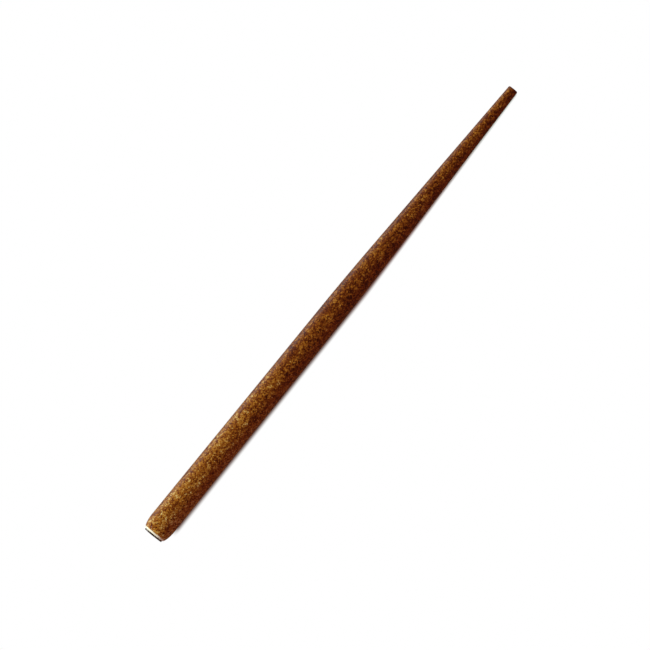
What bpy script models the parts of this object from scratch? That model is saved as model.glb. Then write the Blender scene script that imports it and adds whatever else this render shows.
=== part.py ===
"""Wooden dip pen holder with a spring clip for the nib in its mouth.

The pen lies along X, with its mouth at -X and its tail at +X, and rests on the plane z = 0.
A turned and lacquered shaft carries a plated sleeve in a drilled socket. Inside the sleeve sits a spring
claw: a rolled collar with four leaves that run forward to the mouth. A nib slides in between the leaves
and the sleeve, and each leaf flexes inwards about its root to make room for it.
The wood is one stick. It is kept as two solids that meet at the floor of the socket, the nose round the
socket and the shaft behind it, so that each is a simple shape and the socket stays open.
All distances along the pen are counted from the mouth.
"""

import math

import bmesh
import bpy
from mathutils import Matrix, Vector

# Turned shaft, in metres
PEN_LENGTH = 0.175
BELLY_RADIUS = 0.00442
HIP_RADIUS = 0.00395
HIP_AT = 0.0978
HIP_BLEND = 0.024
TAIL_RADIUS = 0.00163
TAIL_ROUND = 0.0004
NOSE_LENGTH = 0.0046
NOSE_CORNER = 0.0015
NOSE_LAND = 0.0002
DRILL_POINT_ANGLE = math.radians(118)

# Plated sleeve
SLEEVE_RADIUS = 0.0032
SLEEVE_LENGTH = 0.013
SLEEVE_WALL = 0.00025
SLEEVE_REACH = 0.00055
LIP_REACH = 0.0005

# Spring claw
CLAW_SHEET = 0.00025
COLLAR_LENGTH = 0.0034
COLLAR_SEAM = 0.0003
LEAF_COUNT = 4
LEAF_SLOT = 0.0008
LEAF_TIP_WIDTH = 0.0015
LEAF_TIP_ROUND = 0.0009
LEAF_TIP_FLAT = 0.4
LEAF_TIP_RECESS = 0.0009
LEAD_IN_LENGTH = 0.0026
LEAD_IN_DROP = 0.0007
NECK_DIP = 0.0003

# Clearance between pieces that are fitted together
FIT_CLEARANCE = 0.0001

# Facets of the solids
SIDES = 32
CURVE_STEPS = 8
LEAF_ROWS = 16
LEAF_COLUMNS = 8
MERGE_DISTANCE = 1e-7
SHARP_ANGLE = math.radians(35)

# Colours are linear red, green and blue
LACQUER_BROWN = (0.26, 0.10, 0.02)
NICKEL_WHITE = (0.72, 0.71, 0.69)
SPRING_STEEL = (0.50, 0.49, 0.46)

# Places that follow from the sizes above
SLEEVE_BORE = SLEEVE_RADIUS - SLEEVE_WALL
SOCKET_RADIUS = SLEEVE_RADIUS + FIT_CLEARANCE
SOCKET_FLOOR = SLEEVE_LENGTH + FIT_CLEARANCE
BELLY_AT = SLEEVE_REACH + NOSE_LENGTH
COLLAR_RADIUS = SLEEVE_BORE - FIT_CLEARANCE
COLLAR_BACK = SLEEVE_LENGTH - SLEEVE_WALL - FIT_CLEARANCE
COLLAR_FRONT = COLLAR_BACK - COLLAR_LENGTH
LEAF_ROOT = COLLAR_FRONT - FIT_CLEARANCE
LEAF_LENGTH = LEAF_ROOT - LEAF_TIP_RECESS
LEAF_RADIUS = COLLAR_RADIUS - CLAW_SHEET / 2
HINGE_AT = COLLAR_FRONT - FIT_CLEARANCE / 2
AXIS_HEIGHT = BELLY_RADIUS * math.cos(math.pi / SIDES)


def clear_scene():
    for old in list(bpy.data.objects):
        bpy.data.objects.remove(old)


def finish(name, colour, roughness, metallic):
    material = bpy.data.materials.new(name)
    material.use_nodes = True
    shader = material.node_tree.nodes["Principled BSDF"]
    shader.inputs["Base Color"].default_value = (*colour, 1.0)
    shader.inputs["Roughness"].default_value = roughness
    shader.inputs["Metallic"].default_value = metallic
    return material


def add_piece(name, bm, material, pen):
    """Turn a bmesh into a named object that rides on the pen's empty."""
    mesh = bpy.data.meshes.new(name)
    bm.to_mesh(mesh)
    bm.free()
    mesh.shade_smooth()
    mesh.set_sharp_from_angle(angle=SHARP_ANGLE)
    mesh.materials.append(material)
    piece = bpy.data.objects.new(name, mesh)
    piece.parent = pen
    bpy.context.collection.objects.link(piece)
    return piece


def shares():
    return [step / CURVE_STEPS for step in range(CURVE_STEPS + 1)]


def quarter_round(centre, radius):
    """Points on a quarter of a circle, from facing the tail to facing outwards."""
    along, out = centre
    angles = [math.pi / 2 * share for share in shares()]
    return [(along + radius * math.cos(angle), out + radius * math.sin(angle)) for angle in angles]


def bend(start, corner, end):
    """Points on the curve that leaves one straight taper and joins the next, drawn to their corner."""
    start, corner, end = Vector(start), Vector(corner), Vector(end)
    points = []
    for share in shares():
        points.append(start * (1 - share) ** 2 + corner * 2 * share * (1 - share) + end * share ** 2)
    return points


def turn(profile, closed):
    """Spin a profile of (distance along the pen, radius) about the pen's axis.

    The profile starts half a facet off the lowest line, so that a flat facet faces down.
    """
    bm = bmesh.new()
    tilt = Matrix.Rotation(math.pi / SIDES, 3, "X")
    verts = [bm.verts.new(tilt @ Vector((along, 0, -radius))) for along, radius in profile]
    pairs = list(zip(verts, verts[1:]))
    if closed:
        pairs.append((verts[-1], verts[0]))
    edges = [bm.edges.new(pair) for pair in pairs]
    bmesh.ops.spin(bm, geom=verts + edges, cent=(0, 0, 0), axis=(1, 0, 0), angle=math.tau,
                   steps=SIDES, use_merge=True)
    bmesh.ops.remove_doubles(bm, verts=bm.verts, dist=MERGE_DISTANCE)
    bmesh.ops.recalc_face_normals(bm, faces=bm.faces)
    return bm


def front_radius(along):
    """Radius of the wood on its slight straight taper from the belly to the hip."""
    return BELLY_RADIUS + (HIP_RADIUS - BELLY_RADIUS) * (along - BELLY_AT) / (HIP_AT - BELLY_AT)


def make_nose(pen, lacquer):
    """Wood round the socket, with a rounded shoulder that ends in a narrow flat land round the sleeve.

    The sleeve stands out of the wood by its reach, which is where the flat land lies.
    """
    profile = [(SOCKET_FLOOR, front_radius(SOCKET_FLOOR))]
    profile += bend(
        (BELLY_AT, BELLY_RADIUS),
        (SLEEVE_REACH + NOSE_CORNER, BELLY_RADIUS),
        (SLEEVE_REACH, SOCKET_RADIUS + NOSE_LAND),
    )
    profile += [(SLEEVE_REACH, SOCKET_RADIUS), (SOCKET_FLOOR, SOCKET_RADIUS)]
    add_piece("shaft_nose", turn(profile, closed=True), lacquer, pen)


def make_shaft(pen, lacquer):
    """Wood behind the socket, with a drill's point hollowed in its front and a taper from hip to tail."""
    front = SOCKET_FLOOR + FIT_CLEARANCE
    drill_point = SOCKET_RADIUS / math.tan(DRILL_POINT_ANGLE / 2)
    tail_at = PEN_LENGTH - TAIL_ROUND
    tail_slope = (TAIL_RADIUS - HIP_RADIUS) / (tail_at - HIP_AT)
    blend_start = HIP_AT - HIP_BLEND / 2
    blend_end = HIP_AT + HIP_BLEND / 2
    profile = [(PEN_LENGTH, 0)]
    profile += quarter_round((tail_at, TAIL_RADIUS - TAIL_ROUND), TAIL_ROUND)
    profile += bend(
        (blend_end, HIP_RADIUS + tail_slope * (blend_end - HIP_AT)),
        (HIP_AT, HIP_RADIUS),
        (blend_start, front_radius(blend_start)),
    )
    profile += [(front, front_radius(front)), (front, SOCKET_RADIUS), (front + drill_point, 0)]
    add_piece("holder_shaft", turn(profile, closed=False), lacquer, pen)


def make_sleeve(pen):
    """Drawn tube, open at the mouth, with a lip turned in at the back."""
    lip_radius = SLEEVE_BORE - LIP_REACH
    profile = [
        (0, SLEEVE_RADIUS),
        (SLEEVE_LENGTH, SLEEVE_RADIUS),
        (SLEEVE_LENGTH, lip_radius),
        (SLEEVE_LENGTH - SLEEVE_WALL, lip_radius),
        (SLEEVE_LENGTH - SLEEVE_WALL, SLEEVE_BORE),
        (0, SLEEVE_BORE),
    ]
    plate = finish("bright nickel plate", NICKEL_WHITE, roughness=0.12, metallic=1.0)
    add_piece("ferrule_sleeve", turn(profile, closed=True), plate, pen)


def make_collar(pen, steel):
    """Back of the claw: a strip rolled into a ring, open at its seam between two leaves."""
    inside = COLLAR_RADIUS - CLAW_SHEET
    profile = [
        (COLLAR_FRONT, COLLAR_RADIUS),
        (COLLAR_BACK, COLLAR_RADIUS),
        (COLLAR_BACK, inside),
        (COLLAR_FRONT, inside),
    ]
    collar = add_piece("claw_collar", turn(profile, closed=True), steel, pen)

    seam_turn = Matrix.Rotation(math.pi / LEAF_COUNT, 4, "X")
    middle = Vector(((COLLAR_FRONT + COLLAR_BACK) / 2, 0, COLLAR_RADIUS))
    bm = bmesh.new()
    bmesh.ops.create_cube(bm, size=1)
    bmesh.ops.scale(bm, vec=(2 * COLLAR_LENGTH, COLLAR_SEAM, COLLAR_RADIUS), verts=bm.verts)
    bmesh.ops.translate(bm, vec=middle, verts=bm.verts)
    bmesh.ops.transform(bm, matrix=seam_turn, verts=bm.verts)
    cutter = add_piece("collar_seam_cutter", bm, steel, pen)
    cutter.hide_render = True
    cutter.display_type = "WIRE"
    seam = collar.modifiers.new("seam", "BOOLEAN")
    seam.operation = "DIFFERENCE"
    seam.object = cutter


def leaf_radius(from_root):
    """Distance of the sheet's middle from the pen's axis.

    The leaf dips to a neck, comes out again to the belly that presses on the nib, and turns in at its
    tip, to lead the nib in.
    """
    belly = LEAF_LENGTH - LEAD_IN_LENGTH
    if from_root > belly:
        return LEAF_RADIUS - LEAD_IN_DROP * ((from_root - belly) / LEAD_IN_LENGTH) ** 2
    return LEAF_RADIUS - NECK_DIP * math.sin(math.pi * from_root / belly) ** 2


def leaf_half_angle(from_root):
    """Half of the leaf's reach round the axis, narrowing from its root to a rounded tip."""
    root = math.pi / LEAF_COUNT - LEAF_SLOT / 2 / LEAF_RADIUS
    tip = LEAF_TIP_WIDTH / 2 / leaf_radius(LEAF_LENGTH)
    half_angle = root + (tip - root) * from_root / LEAF_LENGTH
    into_round = max(0.0, from_root - (LEAF_LENGTH - LEAF_TIP_ROUND)) / LEAF_TIP_ROUND
    return half_angle * math.sqrt(1 - (1 - LEAF_TIP_FLAT ** 2) * into_round ** 2)


def make_leaf(number, pen, steel):
    """One spring leaf, with its origin on the line where it bends at the collar."""
    bm = bmesh.new()
    rows = []
    # The rows close up towards the tip, where the outline is round
    for row in range(LEAF_ROWS + 1):
        from_root = LEAF_LENGTH * math.sin(math.pi / 2 * row / LEAF_ROWS)
        radius = leaf_radius(from_root)
        reach = leaf_half_angle(from_root)
        line = []
        for column in range(LEAF_COLUMNS + 1):
            angle = reach * (2 * column / LEAF_COLUMNS - 1)
            along = LEAF_ROOT - from_root - HINGE_AT
            point = (along, radius * math.sin(angle), radius * math.cos(angle) - LEAF_RADIUS)
            line.append(bm.verts.new(point))
        rows.append(line)
    for near, far in zip(rows, rows[1:]):
        for left in range(LEAF_COLUMNS):
            bm.faces.new((near[left], near[left + 1], far[left + 1], far[left]))
    leaf = add_piece(f"claw_leaf_{number}", bm, steel, pen)

    turn_angle = math.tau * (number - 1) / LEAF_COUNT
    leaf.rotation_euler = (turn_angle, 0, 0)
    leaf.location = Matrix.Rotation(turn_angle, 3, "X") @ Vector((HINGE_AT, 0, LEAF_RADIUS))
    sheet = leaf.modifiers.new("sheet", "SOLIDIFY")
    sheet.thickness = CLAW_SHEET
    sheet.offset = 0
    sheet.use_even_offset = True


def main():
    clear_scene()
    pen = bpy.data.objects.new("mouth_centre", None)
    pen.location = (-PEN_LENGTH / 2, 0, AXIS_HEIGHT)
    bpy.context.collection.objects.link(pen)
    lacquer = finish("mottled brown lacquer", LACQUER_BROWN, roughness=0.25, metallic=0.0)
    make_nose(pen, lacquer)
    make_shaft(pen, lacquer)
    make_sleeve(pen)
    steel = finish("spring steel", SPRING_STEEL, roughness=0.30, metallic=1.0)
    make_collar(pen, steel)
    for number in range(1, LEAF_COUNT + 1):
        make_leaf(number, pen, steel)


main()
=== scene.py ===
# %% [markdown]
# # Dressing a wooden dip pen holder
#
# A dip pen holder is a turned stick with a spring clip in its mouth. A steel nib is pushed into the clip,
# dipped in ink and written with. The solids of the holder are already there, as plain facets. This lesson
# builds the smooth pieces that are seen instead, and their finishes, in the same place and at the same size.
#
# The pen lies along X, with its mouth at -X and its tail at +X, and it rests on z = 0. All lengths are in
# metres. Load the solids first and keep the box they fill, because nothing may grow out of it.

# %% Load the solids
import math

import bmesh
import bpy
from mathutils import Matrix, Vector


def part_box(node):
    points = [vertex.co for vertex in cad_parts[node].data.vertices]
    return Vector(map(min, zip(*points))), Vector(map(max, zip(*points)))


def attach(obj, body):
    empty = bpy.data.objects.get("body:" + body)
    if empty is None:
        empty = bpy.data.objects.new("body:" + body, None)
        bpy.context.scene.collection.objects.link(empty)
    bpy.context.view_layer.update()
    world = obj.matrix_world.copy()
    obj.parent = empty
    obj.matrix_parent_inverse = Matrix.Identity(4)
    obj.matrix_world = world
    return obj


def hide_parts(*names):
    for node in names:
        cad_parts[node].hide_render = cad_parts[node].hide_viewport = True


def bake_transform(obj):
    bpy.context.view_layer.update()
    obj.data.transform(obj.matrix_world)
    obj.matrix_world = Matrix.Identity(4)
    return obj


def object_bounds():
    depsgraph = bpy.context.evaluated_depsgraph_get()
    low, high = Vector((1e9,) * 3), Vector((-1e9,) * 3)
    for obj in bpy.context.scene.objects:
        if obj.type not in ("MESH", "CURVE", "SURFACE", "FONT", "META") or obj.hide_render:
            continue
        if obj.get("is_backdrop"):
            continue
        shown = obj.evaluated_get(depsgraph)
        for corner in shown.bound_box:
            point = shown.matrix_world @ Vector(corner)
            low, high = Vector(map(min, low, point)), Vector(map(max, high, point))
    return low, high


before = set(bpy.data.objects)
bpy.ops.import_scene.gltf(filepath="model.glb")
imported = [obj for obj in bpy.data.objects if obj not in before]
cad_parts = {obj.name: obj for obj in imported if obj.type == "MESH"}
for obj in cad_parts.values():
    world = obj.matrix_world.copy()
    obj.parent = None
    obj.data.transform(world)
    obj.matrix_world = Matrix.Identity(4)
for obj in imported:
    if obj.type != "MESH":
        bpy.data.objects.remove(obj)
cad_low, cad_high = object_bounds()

MM = 0.001
print("nodes", sorted(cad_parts))

# %% [markdown]
# Sizes come from the boxes of the solids wherever a box can tell them. The solids have 32 flat sides and
# lie on one of them, so half the height of a box is the radius of the round that fits inside the facets.
# A smooth piece of that radius touches the table where the facet does. No box tells where the hip is, or
# how thick the shaft is there and at its tail, so these three are written out, with radii that fit inside
# the facets too.
#
# Places along the pen are counted from the mouth.

# %% Read the sizes
nose_low, nose_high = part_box("shaft_nose")
sleeve_low, sleeve_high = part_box("ferrule_sleeve")
collar_low, collar_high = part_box("claw_collar")

MOUTH_X = sleeve_low.x
PEN_LENGTH = cad_high.x - MOUTH_X
AXIS_Z = (nose_low.z + nose_high.z) / 2
BELLY_RADIUS = (nose_high.z - nose_low.z) / 2
SLEEVE_RADIUS = (sleeve_high.z - sleeve_low.z) / 2
NOSE_FACE = nose_low.x - MOUTH_X
SOCKET_FLOOR = nose_high.x - MOUTH_X
SLEEVE_LENGTH = sleeve_high.x - MOUTH_X
COLLAR_FRONT = collar_low.x - MOUTH_X
COLLAR_BACK = collar_high.x - MOUTH_X
HIP_AT = 97.8 * MM
HIP_RADIUS = 3.93 * MM
TAIL_RADIUS = 1.62 * MM
print(f"pen {PEN_LENGTH / MM:.1f} mm long and {2 * BELLY_RADIUS / MM:.2f} mm thick")
print(f"sleeve {2 * SLEEVE_RADIUS / MM:.2f} mm thick, standing {NOSE_FACE / MM:.2f} mm out of the wood")

# %% [markdown]
# The pen is seen from straight above, with its mouth at the lower left. A long lens a good way off keeps the
# view almost parallel, as a product photograph does, so that both ends are square. The turn of the
# camera about the vertical gives the slant of the pen in the picture.

# %% Camera
LENS = 300
FRAME_WIDTH = 198.2 * MM
PICTURE_SLANT = math.radians(51.09)
LOOK_AT = Vector((-4.6 * MM, -0.48 * MM, AXIS_Z))

scene = bpy.context.scene
scene.view_settings.view_transform = "Standard"
camera = bpy.data.objects.new("camera", bpy.data.cameras.new("camera"))
camera.data.lens = LENS
scene.collection.objects.link(camera)
scene.camera = camera
distance = FRAME_WIDTH * LENS / camera.data.sensor_width
above = Matrix.Translation(LOOK_AT + Vector((0, 0, distance)))
camera.matrix_world = above @ Matrix.Rotation(-PICTURE_SLANT, 4, "Z")
print(f"camera {distance:.2f} m above the pen")

# %% [markdown]
# Node trees are long to write out by hand. This small class wraps one output of a node. Sums written on it
# in Python add Math nodes, also with a plain number on the left, so 1 - mask works. Every other node comes
# from one method: it takes the node's type, the values or links of its sockets, which output is wanted, and
# the node's settings, which are set first because some of them change its sockets.

# %% A wire with arithmetic


class Wire:
    def __init__(self, tree, socket=None):
        self.tree = tree
        self.socket = socket

    def node(self, kind, sockets=None, output=0, stops=(), **settings):
        made = self.tree.nodes.new(kind)
        for name, value in settings.items():
            setattr(made, name, value)
        for position, colour in stops:
            # A new ramp has its two end stops already, so only the stops between them are added.
            scale = made.color_ramp.elements
            stop = scale.new(position) if 0 < position < 1 else scale[-1 if position else 0]
            stop.color = (*colour, 1)
        inputs = [socket for socket in made.inputs if socket.enabled]
        names = {socket.name: socket for socket in reversed(inputs)}
        for name, value in (sockets or {}).items():
            socket = inputs[name] if isinstance(name, int) else names[name]
            if isinstance(value, Wire):
                self.tree.links.new(value.socket, socket)
            else:
                socket.default_value = value
        return Wire(self.tree, self.pick(made, output))

    @staticmethod
    def pick(made, output):
        """One output of a node, by its number or its name."""
        outputs = [socket for socket in made.outputs if socket.enabled]
        if isinstance(output, int):
            return outputs[output] if outputs else None
        return next(socket for socket in outputs if socket.name == output)

    def other(self, output):
        """Another output of the same node."""
        return Wire(self.tree, self.pick(self.socket.node, output))

    def maths(self, operation, *values):
        return self.node("ShaderNodeMath", dict(enumerate(values)), operation=operation)

    def __add__(self, value):
        return self.maths("ADD", self, value)

    def __sub__(self, value):
        return self.maths("SUBTRACT", self, value)

    def __rsub__(self, value):
        return self.maths("SUBTRACT", value, self)

    def __mul__(self, value):
        return self.maths("MULTIPLY", self, value)

    def __truediv__(self, value):
        return self.maths("DIVIDE", self, value)

    def __floordiv__(self, value):
        return (self / value).apply("FLOOR")

    def __mod__(self, value):
        return self.maths("MODULO", self, value)

    def __pow__(self, value):
        return self.maths("POWER", self, value)

    __radd__ = __add__
    __rmul__ = __mul__

    def apply(self, operation):
        return self.maths(operation, self)

    def at_least(self, value):
        return self.maths("MAXIMUM", self, value)

    def at_most(self, value):
        return self.maths("MINIMUM", self, value)

    def ramp(self, low, high, to_low=0.0, to_high=1.0, kind="LINEAR"):
        """Goes from one value to another while this wire goes from low to high."""
        spans = {"Value": self, "From Min": low, "From Max": high, "To Min": to_low, "To Max": to_high}
        return self.node("ShaderNodeMapRange", spans, interpolation_type=kind)

    def ease(self, low, high, to_low=0.0, to_high=1.0):
        """The same, with a soft start and end."""
        return self.ramp(low, high, to_low, to_high, "SMOOTHSTEP")

    def mix(self, first, second):
        """Goes from one colour to another while this wire goes from 0 to 1."""
        return self.node("ShaderNodeMix", {"Factor": self, "A": first, "B": second}, data_type="RGBA")


print("wires ready")

# %% [markdown]
# A plain studio: white paper under the pen, a pale wall beyond its lit side and a dim warm room beyond the
# other. The world is white where the camera sees it. The room light that fills the shade is even and warm.
# What shiny surfaces see is dark overhead and grows brighter towards the wall, and that gives metal and gloss
# their contrast. The world is left out of light sampling, which can't tell a shiny ray from a dull one.

# %% World
WHITE = (1, 1, 1, 1)
ROOM_LIGHT = (0.43, 0.19, 0.17, 1)
DARK_ROOM = (0.10, 0.05, 0.035, 1)
WALL_SHINE = 0.32
WALL_FALLOFF = 5.0

world = bpy.data.worlds.new("studio")
scene.world = world
world.use_nodes = True
world.cycles.sampling_method = "NONE"
studio = Wire(world.node_tree)
towards = studio.node("ShaderNodeTexCoord", output="Generated")
to_wall = studio.node("ShaderNodeSeparateXYZ", {"Vector": towards}, "Y")
seen = studio.node("ShaderNodeLightPath", output="Is Camera Ray")
shiny = seen.other("Is Glossy Ray")
shine = WALL_SHINE * to_wall.at_least(0.0) ** WALL_FALLOFF
bright = studio.node("ShaderNodeCombineColor", {"Red": shine, "Green": shine, "Blue": shine})
together = {"Factor": 1.0, "A": DARK_ROOM, "B": bright}
mirrored = studio.node("ShaderNodeMix", together, data_type="RGBA", blend_type="ADD")
sky = seen.mix(shiny.mix(ROOM_LIGHT, mirrored), WHITE)
world.node_tree.links.new(sky.socket, world.node_tree.nodes["Background"].inputs["Color"])
print("world: pale wall beyond the lit side, dim room beyond the other")

# %% [markdown]
# The main light is a wide soft panel beyond the mouth on the lit side. It is low, so it models the round of
# the shaft: bright on one side, brown in the middle, dark on the other. It stands nearer to the mouth, so the
# light falls off towards the tail.

# %% Soft panel
PANEL_DIRECTION = Vector((-0.70, 0.62, 0.33)).normalized()
PANEL_DISTANCE = 1.0
PANEL_SIZE = (0.44, 0.37)
PANEL_WATTS = 23.0
PANEL_COLOUR = (0.68, 1.0, 0.95)
PEN_MIDDLE = Vector((0, 0, AXIS_Z))


def add_panel(name, place, size, watts, colour=(1, 1, 1)):
    """A rectangle of light that faces the middle of the pen."""
    lamp = bpy.data.objects.new(name, bpy.data.lights.new(name, "AREA"))
    lamp.data.shape = "RECTANGLE"
    lamp.data.size, lamp.data.size_y = size
    lamp.data.energy = watts
    lamp.data.color = colour
    lamp.location = place
    lamp.rotation_euler = (place - PEN_MIDDLE).to_track_quat("Z", "Y").to_euler()
    scene.collection.objects.link(lamp)
    return lamp


panel_place = PANEL_DISTANCE * PANEL_DIRECTION
panel = add_panel("soft_panel", panel_place, PANEL_SIZE, PANEL_WATTS, PANEL_COLOUR)
panel_lift = math.degrees(math.asin(PANEL_DIRECTION.z))
print(f"panel {PANEL_DISTANCE:.2f} m from the pen, {panel_lift:.0f} degrees up")

# %% [markdown]
# A highlight tells the eye that a surface is glossy, but the mirror image of so strong a panel would swallow
# the edge of the pen from most sides. So the panel gives dull light only, and what shiny surfaces see in its
# place is a narrow, dimmer strip.

# %% Sheen strip
STRIP_SIZE = (0.51, 0.15)
STRIP_GLOW = 7.0

panel.visible_glossy = False
strip_watts = STRIP_GLOW * math.pi * STRIP_SIZE[0] * STRIP_SIZE[1]
strip = add_panel("sheen_strip", panel_place, STRIP_SIZE, strip_watts)
strip.visible_diffuse = False
print(f"sheen strip {strip_watts:.2f} W")

# %% [markdown]
# The floor is one big square of white paper at z = 0, under the pen.

# %% Floor
FLOOR_HALF = 3.0

floor_mesh = bpy.data.meshes.new("floor")
corners = [(-1, -1), (1, -1), (1, 1), (-1, 1)]
floor_mesh.from_pydata([(x * FLOOR_HALF, y * FLOOR_HALF, 0) for x, y in corners], [], [(0, 1, 2, 3)])
floor = bpy.data.objects.new("floor", floor_mesh)
scene.collection.objects.link(floor)
print(f"floor {2 * FLOOR_HALF:.0f} m square")

# %% [markdown]
# The camera sees the paper as pure white, the way such photographs are finished, apart from the contact
# shadow. That is kept as a strip along the shaded side, a third as wide as half the pen's thickness there.
# The mask below is 1 everywhere else: beside the strip, on the lit side, and past the mouth and the tail.

# %% Contact shadow
SHADOW_INNER = 1.0
SHADOW_OUTER = 1.34
LIT_EDGE = 1 * MM
SHADOW_FROM = 3 * MM
SHADOW_FULL = 7 * MM
TAIL_FADE = 1 * MM
HIP_X = MOUTH_X + HIP_AT
TAIL_X = MOUTH_X + PEN_LENGTH

paper = bpy.data.materials.new("white paper")
paper.use_nodes = True
paper.cycles.emission_sampling = "NONE"
paper.node_tree.nodes.clear()
sheet = Wire(paper.node_tree)
spot = sheet.node("ShaderNodeSeparateXYZ", {"Vector": sheet.node("ShaderNodeTexCoord", output="Object")}, "X")
side = spot.other("Y")
front_half = spot.ramp(MOUTH_X, HIP_X, BELLY_RADIUS, HIP_RADIUS)
pen_half = front_half - spot.ramp(HIP_X, TAIL_X, 0.0, HIP_RADIUS - TAIL_RADIUS)
beside = (-1 * side / pen_half).ease(SHADOW_INNER, SHADOW_OUTER)
lit_side = side.ease(-LIT_EDGE, 0.0)
past_mouth = spot.ease(MOUTH_X + SHADOW_FULL, MOUTH_X + SHADOW_FROM)
past_tail = spot.ease(TAIL_X - TAIL_FADE, TAIL_X)
away = 1 - (1 - beside) * (1 - lit_side) * (1 - past_mouth) * (1 - past_tail)
print("contact shadow mask:", len(paper.node_tree.nodes), "nodes")

# %% [markdown]
# In the strip the camera sees lit paper. The shade is warm and the panel is cool, so the paper there is
# tinted against whichever light reaches it, and the shadow comes out grey. The light that the paper throws
# back at the pen is a little warm. Shiny surfaces see white paper on the lit side only, because the other
# side lies in shade.

# %% Paper
BOUNCE_PAPER = (0.80, 0.66, 0.68, 1)
SHADED_PAPER = (0.10, 0.05, 0.03, 1)
SHADOW_PAPER = (0.64, 0.93, 0.90, 1)
TAIL_PAPER = (0.75, 0.80, 0.78, 1)
TINT_CHANGE = 30 * MM
SHADE_CHANGE = 25 * MM

looked_at = sheet.node("ShaderNodeLightPath", output="Is Camera Ray")
in_gloss = looked_at.other("Is Glossy Ray") + looked_at.other("Is Transmission Ray")
glow = looked_at * away + in_gloss
tint = spot.ease(HIP_X - TINT_CHANGE, HIP_X + TINT_CHANGE).mix(SHADOW_PAPER, TAIL_PAPER)
lit = sheet.node("ShaderNodeBsdfDiffuse", {"Color": looked_at.mix(BOUNCE_PAPER, tint)})
reflected = side.ease(0.0, SHADE_CHANGE).mix(SHADED_PAPER, WHITE)
white = sheet.node("ShaderNodeEmission", {"Color": looked_at.mix(reflected, WHITE)})
mixed = sheet.node("ShaderNodeMixShader", {0: glow, 1: lit, 2: white})
sheet.node("ShaderNodeOutputMaterial", {"Surface": mixed})
floor_mesh.materials.append(paper)
floor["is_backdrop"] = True
print("floor: white paper, with the contact shadow kept beside the pen")

# %% [markdown]
# The pieces of the pen are made by Geometry Nodes trees, which can be read and changed step by step. Two
# helpers begin and end a tree. The ending merges points that meet, so that seams close, and turns the result
# into real geometry with its finish on.

# %% Geometry trees
MERGE_DISTANCE = 1e-7


def new_tree(name, inputs):
    tree = bpy.data.node_groups.new(name, "GeometryNodeTree")
    for title, kind in inputs.items():
        tree.interface.new_socket(title, in_out="INPUT", socket_type="NodeSocket" + kind)
    tree.interface.new_socket("Piece", in_out="OUTPUT", socket_type="NodeSocketGeometry")
    return tree


def end_tree(start, shape):
    """Smooth shading, real geometry, the finish, and the way out."""
    closed = start.node("GeometryNodeMergeByDistance", {"Geometry": shape, "Distance": MERGE_DISTANCE})
    smooth = start.node("GeometryNodeSetShadeSmooth", {"Geometry": closed})
    real = start.node("GeometryNodeRealizeInstances", {"Geometry": smooth})
    coat = start.node("NodeGroupInput", output="Finish")
    done = start.node("GeometryNodeSetMaterial", {"Geometry": real, "Material": coat})
    start.node("NodeGroupOutput", {"Piece": done})


print("points merge within", MERGE_DISTANCE, "m")

# %% [markdown]
# Every turned piece has the same rule: a profile is spun about the pen's axis. A flat grid gets one row for
# each profile point and one column for each step round the axis. Each grid point takes its place along the
# pen and its radius from the profile, and merging closes the seam and the ends on the axis.

# %% Lathe tree
LATHE_INPUTS = {"Profile": "Geometry", "Sides": "Int", "Axis Height": "Float", "Finish": "Material"}
lathe = new_tree("lathe", LATHE_INPUTS)
start = Wire(lathe)
profile = start.node("NodeGroupInput", output="Profile")
sides = profile.other("Sides")
columns = sides + 1
rows = start.node("GeometryNodeAttributeDomainSize", {"Geometry": profile}, "Point Count")
grid = start.node("GeometryNodeMeshGrid", {"Vertices X": rows, "Vertices Y": columns}, "Mesh")
index = start.node("GeometryNodeInputIndex")
sample = {"Geometry": profile, "Value": start.node("GeometryNodeInputPosition"), "Index": index // columns}
point = start.node("GeometryNodeSampleIndex", sample, data_type="FLOAT_VECTOR")
along = start.node("ShaderNodeSeparateXYZ", {"Vector": point}, "X")
radius = along.other("Z")
turn = index % columns * -math.tau / sides
height = profile.other("Axis Height") + radius * turn.apply("COSINE")
spot = start.node("ShaderNodeCombineXYZ", {"X": along, "Y": radius * turn.apply("SINE"), "Z": height})
end_tree(start, start.node("GeometryNodeSetPosition", {"Geometry": grid, "Position": spot}))
print("lathe tree:", len(lathe.nodes), "nodes")

# %% [markdown]
# A tree is run by hanging it on an object as a modifier, with its inputs set by their identifiers. The
# evaluated object then gives a plain mesh, and the modifier goes. The printed line is a small inspection:
# a closed shell has no open edges, and a positive volume says that its faces point outwards.

# %% Run a tree
SHARP_ANGLE = math.radians(35)
BEVEL_STEPS = 3
ROUND_SIDES = 128


def inspect(piece):
    bm = bmesh.new()
    bm.from_mesh(piece.data)
    open_edges = sum(not edge.is_manifold for edge in bm.edges)
    volume = bm.calc_volume(signed=True)
    triangles = sum(len(face.verts) - 2 for face in bm.faces)
    bm.free()
    print(f"{piece.name}: {triangles} triangles, {open_edges} open edges, {volume / MM ** 3:.2f} cubic mm")


def run_tree(name, base, tree, values, bevel=0.0):
    piece = bpy.data.objects.new(name, base)
    scene.collection.objects.link(piece)
    modifier = piece.modifiers.new("tree", "NODES")
    modifier.node_group = tree
    for socket in tree.interface.items_tree:
        if socket.in_out == "INPUT" and socket.name in values:
            modifier[socket.identifier] = values[socket.name]
    if bevel:
        edges = piece.modifiers.new("edges", "BEVEL")
        edges.width = bevel
        edges.segments = BEVEL_STEPS
        edges.limit_method = "ANGLE"
        edges.angle_limit = SHARP_ANGLE
    graph = bpy.context.evaluated_depsgraph_get()
    mesh = bpy.data.meshes.new_from_object(piece.evaluated_get(graph))
    piece.modifiers.clear()
    piece.data = mesh
    mesh.name = name
    mesh.set_sharp_from_angle(angle=SHARP_ANGLE)
    inspect(piece)
    return piece


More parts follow.
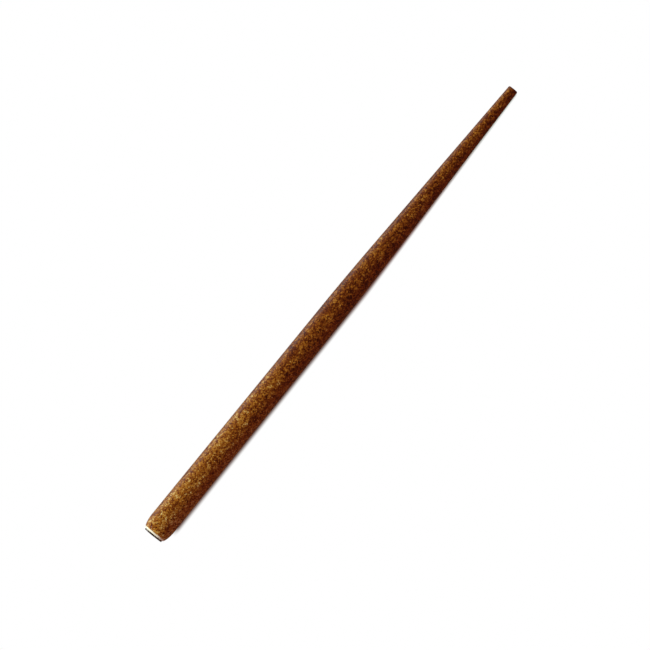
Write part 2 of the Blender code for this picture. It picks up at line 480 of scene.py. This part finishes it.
def turn_piece(name, outline, finish):
    """Spin an outline of (place along the pen, radius) into a piece."""
    base = bpy.data.meshes.new(name)
    places = [(MOUTH_X + along, 0, radius) for along, radius in outline]
    base.from_pydata(places, [(i, i + 1) for i in range(len(places) - 1)], [])
    values = {"Sides": ROUND_SIDES, "Axis Height": AXIS_Z, "Finish": finish}
    return run_tree(name, base, lathe, values)


print("sharp edges from", round(math.degrees(SHARP_ANGLE)), "degrees")

# %% [markdown]
# Outlines are drawn the way a turner marks them out: straight tapers, rounded corners, and one long bend at
# the hip, where the even front part turns into the taper of the tail.

# %% Outline tools


def arc(centre, reach_along, reach_out, start, end, steps=20):
    """Part of an ellipse, between two angles in degrees. 0 points to the tail and 90 outwards."""
    along, out = centre
    angles = [math.radians(start + (end - start) * step / steps) for step in range(steps + 1)]
    return [(along + reach_along * math.cos(angle), out + reach_out * math.sin(angle)) for angle in angles]


def bend(first, corner, last, steps=32):
    """Curve from one straight line to the next, drawn to the corner where they would meet."""
    points = []
    for step in range(steps + 1):
        share = step / steps
        weights = ((1 - share) ** 2, 2 * share * (1 - share), share ** 2)
        points.append(tuple(sum(w * p[i] for w, p in zip(weights, (first, corner, last))) for i in (0, 1)))
    return points


def straight(first, last, steps):
    """Points between two ends, without the ends."""
    shares = [step / steps for step in range(1, steps)]
    return [tuple(a + (b - a) * share for a, b in zip(first, last)) for share in shares]


print("outline tools ready")

# %% [markdown]
# ## The lacquered shaft
#
# On the bench this is one stick of wood, turned on a lathe, drilled for the clip and lacquered. The solids
# keep it as two pieces that meet at the bottom of the drilled socket, and one smooth piece now stands for
# both. Its finish is a mottled brown lacquer, golden in the light and deep red-brown in the shade. A painted
# picture of the mottle would be flat, so it is built from small flakes over soft clouds. Each flake is a cell
# of a Voronoi pattern with a colour and a slight tilt of its own, and the palest ones shimmer a little.

# %% Flakes and clouds
FLAKE_SIZE = 0.42 * MM
FINE_FLAKE_SIZE = 0.2 * MM
CLOUD_SIZE = 5 * MM
MOTTLE_SIZE = 1.3 * MM


def new_finish(name):
    material = bpy.data.materials.new(name)
    material.use_nodes = True
    return material, Wire(material.node_tree), material.node_tree.nodes["Principled BSDF"]


def feed(material, shader, **wires):
    for name, wire in wires.items():
        material.node_tree.links.new(wire.socket, shader.inputs[name.replace("_", " ")])


lacquer, brush, shader = new_finish("flaked brown lacquer")
place = brush.node("ShaderNodeTexCoord", output="Object")
along = brush.node("ShaderNodeSeparateXYZ", {"Vector": place}, "X")
flake = brush.node("ShaderNodeTexVoronoi", {"Vector": place, "Scale": 1 / FLAKE_SIZE}, "Color")
fine = brush.node("ShaderNodeTexVoronoi", {"Vector": place, "Scale": 1 / FINE_FLAKE_SIZE}, "Color")
cloud = brush.node("ShaderNodeTexNoise", {"Vector": place, "Scale": 1 / CLOUD_SIZE, "Detail": 3.0}, "Fac")
mottle = brush.node("ShaderNodeTexNoise", {"Vector": place, "Scale": 1 / MOTTLE_SIZE, "Detail": 2.0}, "Fac")
pick = brush.node("ShaderNodeSeparateColor", {"Color": flake}, "Red")
fine_pick = brush.node("ShaderNodeSeparateColor", {"Color": fine}, "Red")
print("lacquer:", len(lacquer.node_tree.nodes), "nodes so far")

# %% [markdown]
# Each pattern has a weight in the tone of a spot, and the tone picks its colour from a scale of browns. A
# slow drift is added to the tone: more golden at the mouth, redder and darker in the middle, and a little
# less red again at the tail. The darkening away from the mouth is partly painted shade, which adds to the
# falloff of the panel's light towards the tail, and partly the lacquer's own change of colour. At the mouth
# end the shaft is pale in a narrow ring, with a slightly ragged edge.

# %% Lacquer colours
FLAKE_WEIGHT = 0.55
FINE_WEIGHT = 0.4
CLOUD_WEIGHT = 0.45
MOTTLE_WEIGHT = 0.95
MOUTH_TONE = 0.05
MIDDLE_TONE = -0.16
TAIL_LIFT = 0.05
BROWNS = [
    (0.0, (0.045, 0.005, 0.0003)),
    (0.3, (0.105, 0.018, 0.0015)),
    (0.5, (0.18, 0.045, 0.003)),
    (0.7, (0.265, 0.087, 0.008)),
    (0.88, (0.36, 0.155, 0.025)),
    (1.0, (0.46, 0.30, 0.12)),
]
# A narrow pale ring at the mouth end of the shaft, with a slightly ragged edge.
BARE_WOOD = (0.56, 0.44, 0.36, 1)
BARE_TO = 1.2 * MM
BARE_FADE = 0.2 * MM
BARE_RAGGED = 0.15 * MM
SHIMMER = 0.12

# Partly painted shade: the tone falls from the mouth to the middle, darker where the panel's light is weaker.
to_middle = along.ease(-80 * MM, 15 * MM, MOUTH_TONE, MIDDLE_TONE)
drift = to_middle + along.ease(35 * MM, 85 * MM, 0.0, TAIL_LIFT)
patches = CLOUD_WEIGHT * (cloud - 0.5) + MOTTLE_WEIGHT * (mottle - 0.5) + drift
tone = 0.5 + FLAKE_WEIGHT * (pick - 0.5) + FINE_WEIGHT * (fine_pick - 0.5) + patches
glaze = brush.node("ShaderNodeValToRGB", {"Fac": tone}, "Color", stops=BROWNS)
ragged = along + BARE_RAGGED * (pick - 0.5)
bare = ragged.ease(MOUTH_X + BARE_TO, MOUTH_X + BARE_TO - BARE_FADE)
colour = bare.mix(glaze, BARE_WOOD)
shimmer = (1 - bare) * tone.ease(0.5, 0.9, 0.0, SHIMMER)
satin = 0.46 + 0.14 * (fine_pick - 0.5)
print("lacquer:", len(lacquer.node_tree.nodes), "nodes so far")

# %% [markdown]
# The tilt of a flake is a slope that starts at the middle of its cell. Its direction is the cell's own random
# colour, so neighbours catch the light differently and the shaft sparkles as it turns. On top lies the
# faint orange-peel ripple of sprayed lacquer, and a clear coat, thinner on the pale ring at the mouth.

# %% Flake tilt and orange peel
MIDDLE_GREY = (0.5, 0.5, 0.5)
PEEL_SIZE = 0.8 * MM
PEEL_HEIGHT = 0.01 * MM
TILT_STRENGTH = 0.45
COAT_ROUGHNESS = 0.15
BARE_COAT_LOSS = 0.5

offset = brush.node("ShaderNodeVectorMath", {0: place, 1: flake.other("Position")}, operation="SUBTRACT")
lean_way = brush.node("ShaderNodeVectorMath", {0: flake, 1: MIDDLE_GREY}, operation="SUBTRACT")
slope = brush.node("ShaderNodeVectorMath", {0: offset, 1: lean_way}, "Value", operation="DOT_PRODUCT")
peel = brush.node("ShaderNodeTexNoise", {"Vector": place, "Scale": 1 / PEEL_SIZE, "Detail": 1.0}, "Fac")
relief = slope + PEEL_HEIGHT * peel
bump = brush.node("ShaderNodeBump", {"Height": relief, "Distance": 1.0, "Strength": TILT_STRENGTH})
feed(lacquer, shader, Base_Color=colour, Metallic=shimmer, Roughness=satin, Normal=bump)
feed(lacquer, shader, Coat_Weight=1 - BARE_COAT_LOSS * bare)
shader.inputs["Specular IOR Level"].default_value = 0.0
shader.inputs["Coat Roughness"].default_value = COAT_ROUGHNESS
print("lacquer:", len(lacquer.node_tree.nodes), "nodes")

# %% [markdown]
# Now the outline of the shaft, from the middle of the tail to the bottom of the socket. The shoulder at the
# mouth is one long bend, and the socket ends in the cone that a drill leaves.

# %% Shaft
HIP_BLEND = 24 * MM
TAIL_ROUND = 0.4 * MM
SHOULDER_LENGTH = 4.6 * MM
SHOULDER_CORNER = 1.5 * MM
LAND_WIDTH = 0.2 * MM
FIT_CLEARANCE = 0.1 * MM
SOCKET_RADIUS = SLEEVE_RADIUS + FIT_CLEARANCE
DRILL_ANGLE = 118
DRILL_POINT = SOCKET_RADIUS / math.tan(math.radians(DRILL_ANGLE / 2))


def shaft_outline():
    belly = (NOSE_FACE + SHOULDER_LENGTH, BELLY_RADIUS)
    hip = (HIP_AT, HIP_RADIUS)
    tail = (PEN_LENGTH - TAIL_ROUND, TAIL_RADIUS)
    front_slope = (hip[1] - belly[1]) / (hip[0] - belly[0])
    tail_slope = (tail[1] - hip[1]) / (tail[0] - hip[0])
    bend_start = (HIP_AT + HIP_BLEND / 2, HIP_RADIUS + tail_slope * HIP_BLEND / 2)
    bend_end = (HIP_AT - HIP_BLEND / 2, HIP_RADIUS - front_slope * HIP_BLEND / 2)
    outline = [(PEN_LENGTH, 0)]
    outline += arc((tail[0], TAIL_RADIUS - TAIL_ROUND), TAIL_ROUND, TAIL_ROUND, 0, 90)
    outline += straight(tail, bend_start, steps=24)
    outline += bend(bend_start, hip, bend_end)
    outline += straight(bend_end, belly, steps=30)
    corner = (NOSE_FACE + SHOULDER_CORNER, BELLY_RADIUS)
    outline += bend(belly, corner, (NOSE_FACE, SOCKET_RADIUS + LAND_WIDTH))
    outline += [(NOSE_FACE, SOCKET_RADIUS), (SOCKET_FLOOR, SOCKET_RADIUS), (SOCKET_FLOOR + DRILL_POINT, 0)]
    return outline


shaft = turn_piece("lacquered_shaft", shaft_outline(), lacquer)
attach(shaft, "holder")
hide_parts("shaft_nose", "holder_shaft")

# %% [markdown]
# ## The plated sleeve
#
# The sleeve is a drawn metal tube, glued into the socket, and it stands half a millimetre out of the wood.
# Its nickel plate is worn and dulled, so it is darker than new, and it is dullest in the bore. The fine
# polishing lines run round the tube, so their noise is stretched: fast along the pen and slow across it.

# %% Nickel
POLISH_LINES = Vector((24000, 700, 700))
PLATE_CLOUDS = 900.0
PALE_PLATE = (0.40, 0.38, 0.35, 1)
DULL_PLATE = (0.32, 0.30, 0.27, 1)
DULL_FROM = 3.0 * MM
DULL_FADE = 0.06 * MM
SCRATCH_DEPTH = 0.004 * MM

nickel, brush, shader = new_finish("worn nickel plate")
place = brush.node("ShaderNodeTexCoord", output="Object")
stretched = brush.node("ShaderNodeVectorMath", {0: place, 1: POLISH_LINES}, operation="MULTIPLY")
lines = brush.node("ShaderNodeTexNoise", {"Vector": stretched, "Scale": 1.0, "Detail": 2.0}, "Fac")
cloud = brush.node("ShaderNodeTexNoise", {"Vector": place, "Scale": PLATE_CLOUDS, "Detail": 3.0}, "Fac")
axis_place = brush.node("ShaderNodeVectorMath", {0: place, 1: (0, 0, AXIS_Z)}, operation="SUBTRACT")
across = brush.node("ShaderNodeVectorMath", {0: axis_place, 1: (0, 1, 1)}, operation="MULTIPLY")
from_axis = brush.node("ShaderNodeVectorMath", {0: across}, "Value", operation="LENGTH")
inside = from_axis.ease(DULL_FROM - DULL_FADE, DULL_FROM, 1.0, 0.0)
plate = cloud.ease(0.35, 0.75).mix(PALE_PLATE, DULL_PLATE)
gloss = 0.14 + 0.08 * lines + 0.06 * cloud + 0.15 * inside
scratch = brush.node("ShaderNodeBump", {"Height": lines, "Distance": SCRATCH_DEPTH, "Strength": 0.4})
feed(nickel, shader, Base_Color=plate, Roughness=gloss, Normal=scratch)
shader.inputs["Metallic"].default_value = 1.0
print("nickel:", len(nickel.node_tree.nodes), "nodes")

# %% [markdown]
# The sleeve is turned by the same lathe tree. Its outline is a closed loop, from the back round the outside
# to the mouth and back through the bore, so its first point comes again at the end.

# %% Sleeve
SLEEVE_WALL = 0.25 * MM
SLEEVE_BORE = SLEEVE_RADIUS - SLEEVE_WALL
LIP_DEPTH = 0.5 * MM
LIP_RADIUS = SLEEVE_BORE - LIP_DEPTH
EDGE = 0.01 * MM


def sleeve_outline():
    back = SLEEVE_LENGTH
    rounds = [(back - EDGE, SLEEVE_RADIUS - EDGE), (EDGE, SLEEVE_RADIUS - EDGE), (EDGE, SLEEVE_BORE + EDGE)]
    outline = []
    for quarter, centre in enumerate(rounds):
        outline += arc(centre, EDGE, EDGE, 90 * quarter, 90 * (quarter + 1), steps=6)
    outline += [(back - SLEEVE_WALL, SLEEVE_BORE), (back - SLEEVE_WALL, LIP_RADIUS), (back, LIP_RADIUS)]
    return outline + outline[:1]


sleeve = turn_piece("nickel_sleeve", sleeve_outline(), nickel)
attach(sleeve, "holder")
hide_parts("ferrule_sleeve")

# %% [markdown]
# ## The spring claw
#
# The claw is stamped from thin spring steel and rolled up: a collar at the back and four leaves in front.
# Rolled sheet follows one rule, so one tree makes the collar and the leaves. A grid is bent round the axis
# at a radius that changes along the piece, its reach round the axis narrows to the tip, and the sheet's
# thickness is extruded outwards. The first input only takes the mesh that a modifier hands over; the tree has
# no use for it.

# %% Rolled sheet tree
SHEET_INPUTS = {
    "Stub": "Geometry", "Root At": "Float", "Length": "Float", "Radius": "Float", "Thickness": "Float",
    "Neck Dip": "Float", "Lead In Length": "Float", "Lead In Drop": "Float", "Root Reach": "Float",
    "Tip Reach": "Float", "Tip Round": "Float", "Tip Flat": "Float", "Turn": "Float", "Axis Height": "Float",
    "Rows": "Int", "Columns": "Int", "Finish": "Material",
}
rolled = new_tree("rolled sheet", SHEET_INPUTS)
start = Wire(rolled)
given = start.node("NodeGroupInput", output="Stub")
length, rows, columns = (given.other(name) for name in ("Length", "Rows", "Columns"))
lead_in, tip_round, root_reach = (given.other(name) for name in ("Lead In Length", "Tip Round", "Root Reach"))
index = start.node("GeometryNodeInputIndex")
grid = start.node("GeometryNodeMeshGrid", {"Vertices X": rows + 1, "Vertices Y": columns + 1}, "Mesh")
from_root = length * (index // (columns + 1) / rows * (math.pi / 2)).apply("SINE")
belly = length - lead_in
into_tip = (from_root - belly).at_least(0.0) / lead_in
to_belly = (from_root / belly).at_most(1.0)
neck = given.other("Neck Dip") * (to_belly * math.pi).apply("SINE") ** 2
middle = given.other("Radius") - neck - given.other("Lead In Drop") * into_tip ** 2
inner = middle - given.other("Thickness") / 2
narrowing = (given.other("Tip Reach") - root_reach) * from_root / length
into_round = (from_root - (length - tip_round)).at_least(0.0) / tip_round
rounding = (1 - (1 - given.other("Tip Flat") ** 2) * into_round ** 2).apply("SQRT")
reach = (root_reach + narrowing) * rounding
angle = reach * (index % (columns + 1) / columns * 2 - 1) - given.other("Turn")
spot = start.node("ShaderNodeCombineXYZ", {
    "X": given.other("Root At") - from_root,
    "Y": inner * angle.apply("SINE"),
    "Z": given.other("Axis Height") + inner * angle.apply("COSINE"),
})
patch = start.node("GeometryNodeSetPosition", {"Geometry": grid, "Position": spot})
print("rolled sheet tree:", len(rolled.nodes), "nodes so far")

# %% [markdown]
# The extruded patch is the outer face with its side walls. The patch itself, turned over, closes it as the
# inner face.

# %% Sheet thickness
thick = {"Mesh": patch, "Offset Scale": given.other("Thickness"), "Individual": False}
outer = start.node("GeometryNodeExtrudeMesh", thick, "Mesh", mode="FACES")
under = start.node("GeometryNodeFlipFaces", {"Mesh": patch})
shell = rolled.nodes.new("GeometryNodeJoinGeometry")
for half in (outer, under):
    rolled.links.new(half.socket, shell.inputs["Geometry"])
end_tree(start, Wire(rolled, shell.outputs["Geometry"]))
print("rolled sheet tree:", len(rolled.nodes), "nodes")

# %% [markdown]
# Spring steel is rolled in the mill, so its fine lines run along the strip. The stamping leaves it a little
# duller than the plate, with straw-coloured patches from tempering and a thin skin that scatters some light.

# %% Spring steel
ROLLING_LINES = Vector((900, 14000, 14000))
TEMPER_CLOUDS = 420.0
PLAIN_STEEL = (0.52, 0.51, 0.49, 1)
STRAW_STEEL = (0.50, 0.43, 0.32, 1)
GRAIN_DEPTH = 0.006 * MM
METAL_SHARE = 0.75

steel, brush, shader = new_finish("rolled spring steel")
place = brush.node("ShaderNodeTexCoord", output="Object")
stretched = brush.node("ShaderNodeVectorMath", {0: place, 1: ROLLING_LINES}, operation="MULTIPLY")
lines = brush.node("ShaderNodeTexNoise", {"Vector": stretched, "Scale": 1.0, "Detail": 3.0}, "Fac")
temper = brush.node("ShaderNodeTexNoise", {"Vector": place, "Scale": TEMPER_CLOUDS, "Detail": 2.0}, "Fac")
grey = temper.ease(0.42, 0.7, 0.0, 0.7).mix(PLAIN_STEEL, STRAW_STEEL)
rough = 0.2 + 0.16 * lines + 0.08 * temper
grain = brush.node("ShaderNodeBump", {"Height": lines, "Distance": GRAIN_DEPTH, "Strength": 0.5})
feed(steel, shader, Base_Color=grey, Roughness=rough, Normal=grain)
shader.inputs["Metallic"].default_value = METAL_SHARE
print("steel:", len(steel.node_tree.nodes), "nodes")

# %% [markdown]
# The collar is a strip rolled almost all the way round, with a narrow seam between two leaves.

# %% Collar
CLAW_SHEET = 0.25 * MM
CLAW_RADIUS = SLEEVE_BORE - FIT_CLEARANCE - CLAW_SHEET / 2
COLLAR_SEAM = 0.3 * MM
COLLAR_TURN = math.radians(225)
STAMPED_EDGE = 0.05 * MM
CLAW_COMMON = {"Axis Height": AXIS_Z, "Thickness": CLAW_SHEET, "Radius": CLAW_RADIUS, "Finish": steel}


def roll_piece(name, values):
    return run_tree(name, bpy.data.meshes.new(name), rolled, CLAW_COMMON | values, bevel=STAMPED_EDGE)


half_turn = math.pi - COLLAR_SEAM / 2 / CLAW_RADIUS
collar = roll_piece("rolled_collar", {
    "Root At": MOUTH_X + COLLAR_BACK, "Length": COLLAR_BACK - COLLAR_FRONT, "Rows": 8, "Columns": 96,
    "Root Reach": half_turn, "Tip Reach": half_turn, "Turn": COLLAR_TURN,
})
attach(collar, "holder")
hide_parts("claw_collar")

# %% [markdown]
# A real leaf bends along its root when a nib is pushed in, and the solids stand in for that with a hinge. The
# piece seen here grows out of the collar without a gap. Four copies, a quarter turn apart, are four pieces,
# as each leaf of the claw moves on its own.

# %% Leaves
LEAF_COUNT = 4
LEAF_SLOT = 0.8 * MM
LEAF_TIP_WIDTH = 1.5 * MM
LEAF_TIP_AT = 0.9 * MM
NECK_DIP = 0.3 * MM
LEAD_IN_LENGTH = 2.6 * MM
LEAD_IN_DROP = 0.7 * MM
TIP_ROUND = 0.9 * MM
TIP_FLAT = 0.4

root = Vector((MOUTH_X + COLLAR_FRONT, 0, AXIS_Z))
tip_radius = CLAW_RADIUS - LEAD_IN_DROP
for number in range(1, LEAF_COUNT + 1):
    leaf = roll_piece(f"spring_leaf_{number}", {
        "Root At": root.x, "Length": COLLAR_FRONT - LEAF_TIP_AT, "Rows": 40, "Columns": 20,
        "Neck Dip": NECK_DIP, "Lead In Length": LEAD_IN_LENGTH, "Lead In Drop": LEAD_IN_DROP,
        "Root Reach": math.pi / LEAF_COUNT - LEAF_SLOT / 2 / CLAW_RADIUS,
        "Tip Reach": LEAF_TIP_WIDTH / 2 / tip_radius, "Tip Round": TIP_ROUND, "Tip Flat": TIP_FLAT,
        "Turn": math.tau * (number - 1) / LEAF_COUNT,
    })
    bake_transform(leaf)
    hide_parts(f"claw_leaf_{number}")

# %% [markdown]
# Last, the size. The box of the dressed pen and the box of the solids are printed side by side. The
# dressed pen has to fill the same box as the solids.

# %% Sizes
new_low, new_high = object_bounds()
boxes = {"cad": [list(cad_low), list(cad_high)], "visual": [list(new_low), list(new_high)]}
print("box of the solids", [round(x / MM, 3) for x in (cad_high - cad_low)])
print("box of the pieces", [round(x / MM, 3) for x in (new_high - new_low)])
